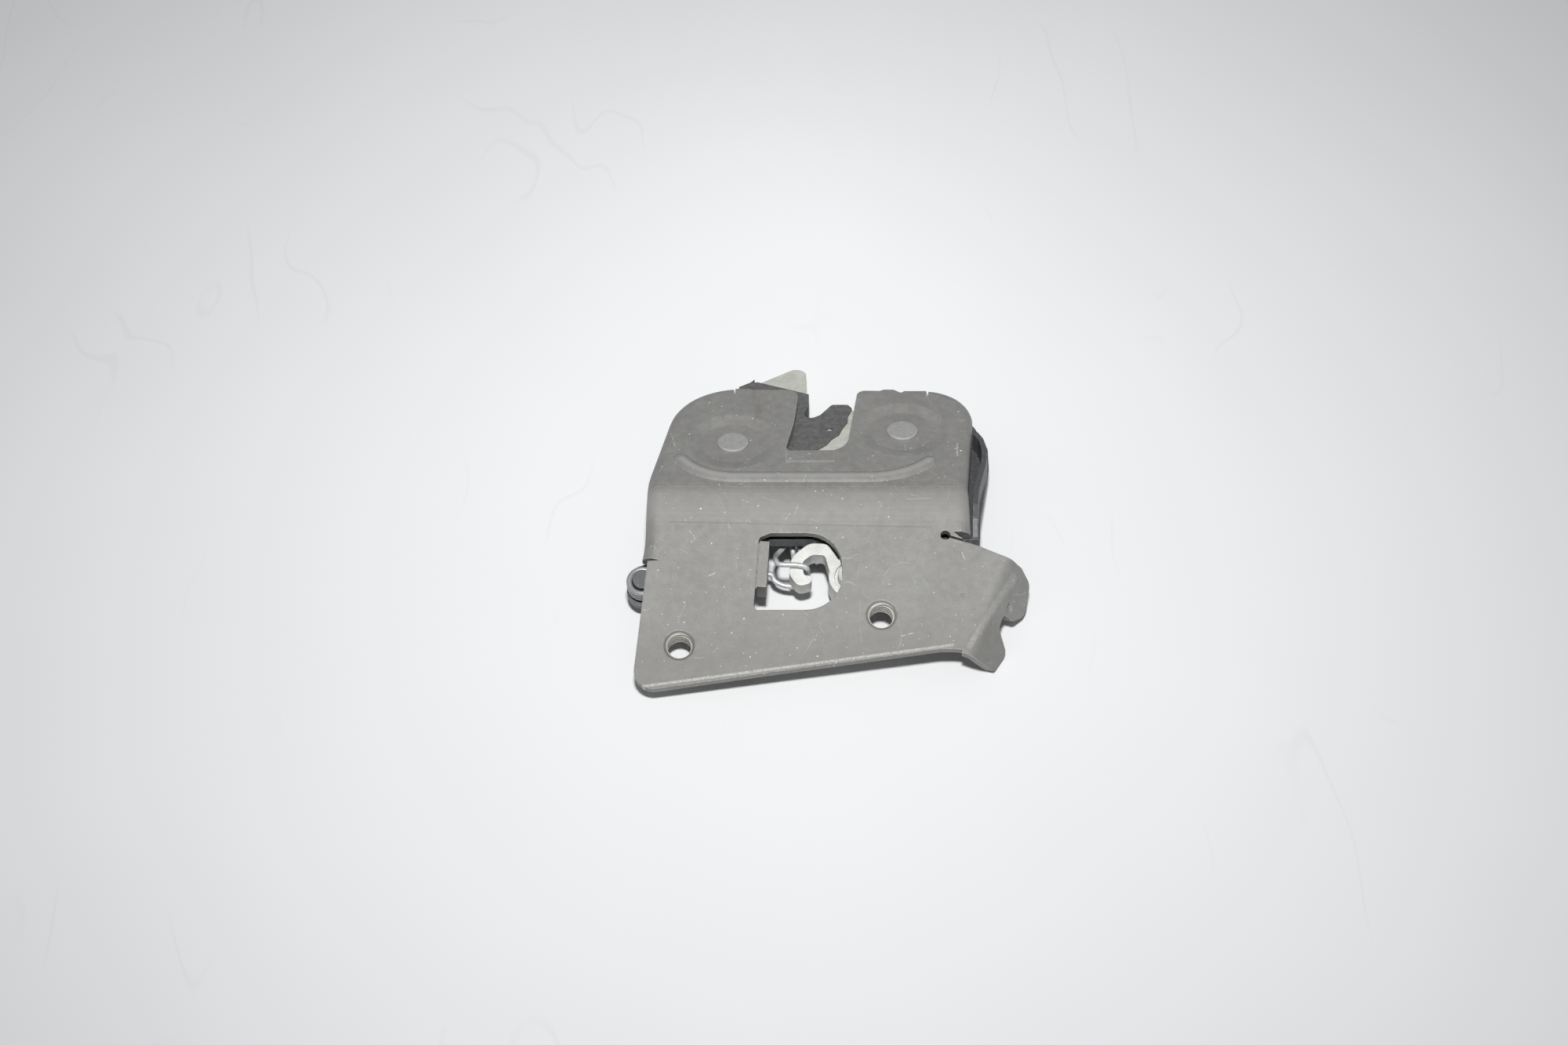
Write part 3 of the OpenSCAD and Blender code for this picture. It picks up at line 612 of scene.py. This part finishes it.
def spun_steel(name, centre):
    look = Look(name)
    place = face_place(look)
    soft, edge = soft_edges(look, SOFT_EDGE)
    radius = look.vector("DISTANCE", {0: flattened(look, place), 1: (*centre, 0)}, "Value")
    rings = grain(look, look.node("ShaderNodeCombineXYZ", None, {0: radius * RINGS_A_MM}), 1, 2)
    mottle = grain(look, place, 1.5, detail=4, roughness=0.6)
    dust = specks(look, place, spacing=1.2, radius=0.14, share=0.35)
    colour = look.mix((rings * 0.4 + mottle * 0.6).rise(0.3, 0.7), RIVET_DARK, RIVET_PALE)
    colour = look.mix(edge * RIVET_EDGE_SHARE, colour, RIVET_EDGE)
    colour = look.mix(dust * RIVET_DUST_SHARE, colour, RIVET_DUST)
    return look.principled(
        Base_Color=colour,
        Metallic=0.2,
        Roughness=0.48 + 0.15 * mottle,
        Normal=bump(look, rings, depth=0.02, normal=soft),
    )


SPUN_CATCH = spun_steel("spun_catch_rivet", CATCH_RIVET)
SPUN_PAWL = spun_steel("spun_pawl_rivet", PAWL_RIVET)
print("made", SPUN_CATCH.name, SPUN_PAWL.name)

# %% [markdown]
# Spring wire is drawn bright, and the thread of a tapped hole is bare cut steel, made paler still as a painted
# highlight on its ridges, so the two share one recipe in different greys. The colour is darker towards the left end
# of the latch, where the torsion spring looks darker in the photograph. Round wire has no edges to soften, so the
# bump starts from the plain normal.

# %% Spring wire and threads
LEFT_END_TONE, LEFT_END_SHARE = (0.2, 0.2, 0.19), 0.6
LEFT_END_START_X, LEFT_END_FULL_X = -27, -32


def bright_wire(name, dark, light, rough):
    look = Look(name)
    place = face_place(look)
    lines = grain(look, place, 0.5, detail=3, roughness=0.6)
    smear = grain(look, place, 2.5, detail=3)
    colour = look.mix((lines * 0.5 + smear * 0.5).rise(0.35, 0.65), dark, light)
    # darker towards the left end of the latch
    left_end_darkening = along(look, place, "X").rise(LEFT_END_START_X, LEFT_END_FULL_X)
    colour = look.mix(left_end_darkening * LEFT_END_SHARE, colour, LEFT_END_TONE)
    plain = look.node("ShaderNodeNewGeometry", None, None, "Normal")
    return look.principled(
        Base_Color=colour,
        Metallic=0.25,
        Roughness=rough + 0.2 * smear,
        Normal=bump(look, lines, depth=0.02, normal=plain),
    )


WIRE_DARK, WIRE_PALE = (0.46, 0.465, 0.475), (0.62, 0.63, 0.645)
# the thread is bare cut steel, made paler still as a painted highlight on its ridges
THREAD_BARE_AND_HIGHLIGHT_DARK, THREAD_BARE_AND_HIGHLIGHT_PALE = (0.7, 0.68, 0.63), (0.95, 0.93, 0.88)
WIRE = bright_wire("drawn_spring_wire", WIRE_DARK, WIRE_PALE, rough=0.28)
THREAD = bright_wire("cut_thread_steel_and_painted_highlight", THREAD_BARE_AND_HIGHLIGHT_DARK, THREAD_BARE_AND_HIGHLIGHT_PALE, rough=0.3)
print("made", WIRE.name, THREAD.name)

# %% [markdown]
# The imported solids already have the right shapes, so each keeps its mesh and only its material slots change. A
# replaced copy of each would allow finer forms, but it could drift from the solid that is used for contact.

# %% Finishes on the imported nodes
FINISH = {
    "housing_plate": PHOSPHATED, "back_plate": BLACK_STEEL, "catch_core": CORE, "catch_jacket": PLASTIC,
    "catch_rivet": SPUN_CATCH, "pawl_rivet": SPUN_PAWL, "pawl": CORE, "drive_pin": PIN,
    "release_lever": CASTING, "lever_stud": PIN, "lever_clip": BLACK_STEEL, "spring_post": BLACK_STEEL,
    "lever_spring": WIRE, "catch_spring": WIRE,
}
for name, material in FINISH.items():
    node = nodes[name]
    if not node.material_slots:
        node.data.materials.append(material)
    for material_slot in node.material_slots:
        material_slot.material = material
print("finished", len(FINISH), "nodes")

# %% [markdown]
# Wire and thread are both one small section carried along a path, so their meshes are built the same way: rings of
# vertices, with a band of faces between each ring and the next and a face on each end. A curve with a bevel would
# make round wire in fewer lines, but not a thread, and a mesh is ready for a joint to bend.

# %% Meshes from rings


def stand(name, vertices, faces, material, smooth=False):
    """An object in the scene from vertices and faces."""
    mesh = bpy.data.meshes.new(name)
    mesh.from_pydata(vertices, [], faces)
    if smooth:
        mesh.polygons.foreach_set("use_smooth", [True] * len(mesh.polygons))
    mesh.materials.append(material)
    made = bpy.data.objects.new(name, mesh)
    scene.collection.objects.link(made)
    print("made", name, "with", len(faces), "faces")
    return made


def ringed(name, vertices, count, material, smooth=False):
    """A closed object through rings of count vertices each."""
    faces = []
    for first in range(0, len(vertices) - count, count):
        for j in range(count):
            after = (j + 1) % count
            faces.append((first + j, first + after, first + count + after, first + count + j))
    faces += [tuple(reversed(range(count))), tuple(range(len(vertices) - count, len(vertices)))]
    return stand(name, vertices, faces, material, smooth)


print("meshes are built from rings")

# %% [markdown]
# Each spring is drawn as a few places that its wire passes. A cubic curve through all of them makes the path, and
# a circle follows it. Its side direction turns as little as it can from point to point, so that the wire doesn't
# twist. Eight places to a turn are enough for the curve to look round.

# %% Round wire along a path
WIRE_SIDES = 14
SPLINE_STEPS = 6
PLACES_A_TURN = 8


def through(places):
    """Smooth path through the places."""
    padded = [2 * places[0] - places[1], *places, 2 * places[-1] - places[-2]]
    path = []
    for a, b, c, d in zip(padded, padded[1:], padded[2:], padded[3:]):
        for i in range(SPLINE_STEPS):
            t = i / SPLINE_STEPS
            square, cube = (2 * a - 5 * b + 4 * c - d) * t * t, (3 * b - a - 3 * c + d) * t * t * t
            path.append(0.5 * (2 * b + (c - a) * t + square + cube))
    return [*path, places[-1]]


def winding(turns):
    """Angles along a winding."""
    return [2 * math.pi * i / PLACES_A_TURN for i in range(turns * PLACES_A_TURN + 1)]


def wire(name, places, radius):
    """Round wire of that radius in metres through the places."""
    circle = [2 * math.pi * j / WIRE_SIDES for j in range(WIRE_SIDES)]
    path = through(places)
    vertices = []
    side = None
    for i, here in enumerate(path):
        ahead = (path[min(i + 1, len(path) - 1)] - path[max(i - 1, 0)]).normalized()
        if side is None:
            side = ahead.orthogonal().normalized()
        side = (side - ahead * side.dot(ahead)).normalized()
        lift = ahead.cross(side)
        vertices += [here + side * (radius * math.cos(a)) + lift * (radius * math.sin(a)) for a in circle]
    return ringed(name, vertices, WIRE_SIDES, WIRE, smooth=True)


print("wire has", WIRE_SIDES, "sides and", PLACES_A_TURN * SPLINE_STEPS, "steps to a turn")

# %% [markdown]
# Each fixing hole is tapped M8. The solids have plain bores at the drill's radius, which is all that a fit needs,
# so the thread is one ridge added here. It winds down the bore at 1.25 mm a turn, its foot sunk in the wall so
# that no gap shows, and it tapers away at both ends as a cut thread does. Bump alone wouldn't do, because the
# ridges show in outline when one looks into the hole at a slant.

# %% Threads
PITCH = 1.25
WALL, CREST = 3.46, 3.02
THREAD_TOP, THREAD_BOTTOM = -0.55, -6.35
STEPS_A_TURN, TAPER_STEPS = 48, 14
# radius in mm and height in pitches of the ridge's four corners
RIDGE = ((WALL, 0.5), (CREST, 0.07), (CREST, -0.07), (WALL, -0.5))


def thread(name, x, y):
    turns = (THREAD_TOP - THREAD_BOTTOM) / PITCH
    steps = round(turns * STEPS_A_TURN)
    vertices = []
    for i in range(steps + 1):
        angle = 2 * math.pi * i / STEPS_A_TURN
        z = THREAD_TOP - PITCH * i / STEPS_A_TURN
        taper = min(1.0, i / TAPER_STEPS, (steps - i) / TAPER_STEPS)
        for radius, rise in RIDGE:
            r = WALL + (radius - WALL) * taper
            vertices.append(on_plate(x + r * math.cos(angle), y + r * math.sin(angle), z + rise * PITCH))
    made = ringed(name, vertices, len(RIDGE), THREAD)
    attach(made, "housing")
    print(name, "has", round(turns, 1), "turns")


thread("left_thread", *LEFT_HOLE)
thread("right_thread", *RIGHT_HOLE)

# %% [markdown]
# A tension spring pulls the release lever back. One end hooks on the lever's tip, and the other goes through a hole
# of the back plate. It stands for the imported spring, whose two ends are on different bodies. The end in the
# back plate is hidden in the photograph, and guessed.

# %% Tension spring
LEVER_WIRE_RADIUS = 0.0007
COIL_START, COIL_R, COIL_PITCH, COIL_TURNS = (1.8, -8.8, -14), 2.4, 1.95, 5
HOOK_SIDE = (
    (6.2, -17.2, -8.6), (6.1, -17.1, -4.6), (5.2, -16.6, -3.7), (3, -16.2, -3.6), (-1.2, -16, -3.6),
    (-2.1, -14.6, -4.4), (-2.2, -12.6, -7.2), (-1.8, -11, -9.4), (-0.2, -8.6, -10.8), (0.8, -6.6, -12.4),
)
ANCHOR_SIDE = ((12.4, -6.3, -13.4), (13.4, -6.3, -11.6), (13.8, -6.4, -9.4), (13.8, -6.4, -7.2))

x, y, z = COIL_START
coil = [
    (x + COIL_PITCH * a / (2 * math.pi), y + COIL_R * math.cos(a), z + COIL_R * math.sin(a))
    for a in winding(COIL_TURNS)
]
lever_spring = wire(
    "lever_spring_wire", [on_plate(*p) for p in (*HOOK_SIDE, *coil, *ANCHOR_SIDE)], LEVER_WIRE_RADIUS
)
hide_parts("lever_spring")
tuple(on_plate(0, -16, 0))
tuple(on_plate(0, -11.2, 0))
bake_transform(lever_spring)

# %% [markdown]
# A torsion spring winds three turns round its post at the left edge. One long leg goes to the lever and the other
# to the catch, where its end is hidden and guessed. In life both legs would push as the parts turn. Here the whole
# spring rides on the housing and keeps its rest form, because a blend crosses one joint and this spring spans two.

# %% Torsion spring
CATCH_WIRE_RADIUS = 0.00075
POST, WOUND_START, WOUND_R, WOUND_PITCH, WOUND_TURNS = (-36.6, -20.4), -8.6, 3.5, 1.58, 3
LEVER_LEG = (
    (3.4, -19.2, -11.8), (0, -18.8, -11.8), (-2.4, -17.6, -11.6), (-3.6, -15.8, -11.4), (-8, -16.6, -11.2),
    (-18, -19.6, -8.75), (-30, -22.8, -8.75), (-32.4, -22.4, -8.7),
)
CATCH_LEG_ON_PLATE = ((-32.4, -16, -4.1), (-32.2, -6, -4.3))
CATCH_LEG_ON_FACE = ((-31.2, 8, -7.4), (-28.1, 25, -7.6), (-26.7, 32.6, -7))

wound = [
    (
        POST[0] + WOUND_R * math.cos(a),
        POST[1] + WOUND_R * math.sin(a),
        WOUND_START + WOUND_PITCH * a / (2 * math.pi),
    )
    for a in winding(WOUND_TURNS)
]
catch_spring = wire(
    "catch_spring_wire",
    [on_plate(*p) for p in (*LEVER_LEG, *wound, *CATCH_LEG_ON_PLATE)] + [on_face(*p) for p in CATCH_LEG_ON_FACE],
    CATCH_WIRE_RADIUS,
)
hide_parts("catch_spring")
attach(catch_spring, "housing")

# %% [markdown]
# The table is a matt white board with a few faint hairlines. It isn't part of the object, but it carries the
# shadows that show how the latch stands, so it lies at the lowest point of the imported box. A little cloudiness in
# its colour keeps it from looking like an empty page.

# %% Table
TABLE_HALF = 1.5
BOARD_DARK, BOARD_PALE = (0.86, 0.865, 0.87), (0.9, 0.905, 0.91)
BOARD_LINE, BOARD_LINE_SHARE = (0.6, 0.6, 0.6), 0.12


def table_board():
    look = Look("white_table")
    place = face_place(look)
    clouds = grain(look, place, 90, detail=2)
    lines = hairlines(look, place, size=26, detail=1, stretch=(1, 0.35, 1), width=0.012, fade=0.01)
    lines = lines * grain(look, place, 60, detail=1).rise(0.56, 0.66)
    colour = look.mix(clouds, BOARD_DARK, BOARD_PALE)
    colour = look.mix(lines * BOARD_LINE_SHARE, colour, BOARD_LINE)
    return look.principled(Base_Color=colour, Roughness=0.62 + 0.1 * clouds)


table_z = min(corner[2] for corner in cad_box)
corner_signs = ((-1, -1), (1, -1), (1, 1), (-1, 1))
table_corners = [(TABLE_HALF * across, TABLE_HALF * away, table_z) for across, away in corner_signs]
table = stand("table", table_corners, [(0, 1, 2, 3)], table_board())
print("table at", round(MM * table_z, 1), "mm")

# %% [markdown]
# One small soft light stands above the camera. Seen from the latch it is about 25 degrees off the vertical, so the
# shadows are short and light falls through the window and the fixing holes onto the table. A smaller light gives
# harder shadows and a larger one softer ones. Its spread narrows the beam and lets the table darken away from the
# middle, as it does in the photograph. A weak even light from all round fills the shadows.

# %% Light
KEY_PLACE, KEY_AIM = Vector((0.0267, -0.27, 0.68)), Vector((0.03, 0.17, 0))
KEY_SIZE, KEY_WATTS, KEY_SPREAD = 0.07, 1.27, 84
ROOM_COLOUR, ROOM_STRENGTH = (0.95, 0.975, 1.0, 1), 0.18

lamp_data = bpy.data.lights.new("key_light", "AREA")
lamp_data.shape = "DISK"
lamp_data.size = KEY_SIZE
lamp_data.energy = KEY_WATTS
lamp_data.spread = math.radians(KEY_SPREAD)
lamp = bpy.data.objects.new("key_light", lamp_data)
lamp.location = KEY_PLACE
lamp.rotation_euler = (KEY_AIM - KEY_PLACE).to_track_quat("-Z", "Y").to_euler()
scene.collection.objects.link(lamp)

world = bpy.data.worlds.new("studio")
world.use_nodes = True
background = world.node_tree.nodes["Background"]
background.inputs["Color"].default_value = ROOM_COLOUR
background.inputs["Strength"].default_value = ROOM_STRENGTH
scene.world = world
scene.view_settings.view_transform = "Standard"
print("light of", KEY_WATTS, "W, and", ROOM_STRENGTH, "from all round")
